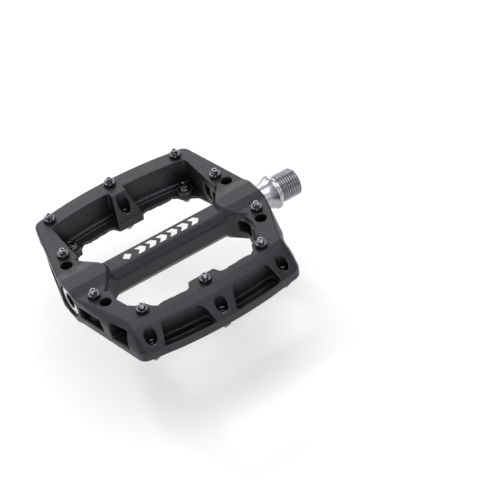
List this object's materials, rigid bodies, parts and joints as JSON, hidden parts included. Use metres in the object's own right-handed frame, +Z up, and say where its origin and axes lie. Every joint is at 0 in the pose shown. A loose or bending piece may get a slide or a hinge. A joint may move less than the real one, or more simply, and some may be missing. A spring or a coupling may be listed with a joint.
{
  "type": "flat bicycle pedal",
  "caption": "Flat platform pedal: a moulded open frame with screwed-in traction pins on both faces, turning freely on a threaded steel axle with a flared neck and a bright end cap.",
  "frame": {"origin": "middle of the crank thread, on the axle axis", "axes": "+X along the axle towards the crank, +Z up out of the upper face, +Y towards the rail whose upper edge is the wide one"},
  "size_m": [0.1283, 0.11, 0.025],
  "materials": {
    "body": "fine-grained satin moulding",
    "axle_steel": "satin turned steel",
    "cap": "bright turned",
    "pin_steel": "bright plated",
    "nut_steel": "bright plated",
    "race_steel": "ground",
    "cage": "pressed",
    "bush": "dull",
    "rubber": "dull"
  },
  "bodies": {
    "axle": {"axle": "axle_steel", "bearing_inner_race": "race_steel", "axle_washer": "race_steel", "axle_nut": "race_steel"},
    "platform": {"platform": "body", "bush": "bush", "seal": "rubber", "bearing_outer_race": "race_steel", "bearing_shield_inboard": "rubber", "bearing_shield_outboard": "rubber", "end_cap": "cap", "cap_ring": "rubber", "pin_nuts_upper": "nut_steel", "pin_nuts_lower": "nut_steel", "pin_01": "pin_steel", "pin_02": "pin_steel", "pin_03": "pin_steel", "pin_04": "pin_steel", "pin_05": "pin_steel", "pin_06": "pin_steel", "pin_07": "pin_steel", "pin_08": "pin_steel", "pin_09": "pin_steel", "pin_10": "pin_steel", "pin_11": "pin_steel", "pin_12": "pin_steel", "pin_13": "pin_steel", "pin_14": "pin_steel", "pin_15": "pin_steel", "pin_16": "pin_steel", "pin_17": "pin_steel", "pin_18": "pin_steel", "pin_19": "pin_steel", "pin_20": "pin_steel"},
    "ball_set": {"bearing_cage": "cage", "bearing_ball_1": "race_steel", "bearing_ball_2": "race_steel", "bearing_ball_3": "race_steel", "bearing_ball_4": "race_steel", "bearing_ball_5": "race_steel", "bearing_ball_6": "race_steel", "bearing_ball_7": "race_steel", "bearing_ball_8": "race_steel", "bearing_ball_9": "race_steel"}
  },
  "joints": [
    {"name": "platform_spin", "type": "hinge", "parent": "axle", "child": "platform", "pos_m": [0, 0, 0], "axis": [1, 0, 0], "continuous": true},
    {"name": "ball_set_spin", "type": "hinge", "parent": "axle", "child": "ball_set", "pos_m": [0, 0, 0], "axis": [1, 0, 0], "continuous": true}
  ],
  "couplings": [
    {"joint": "ball_set_spin", "follows": "platform_spin", "ratio": 0.5833}
  ]
}
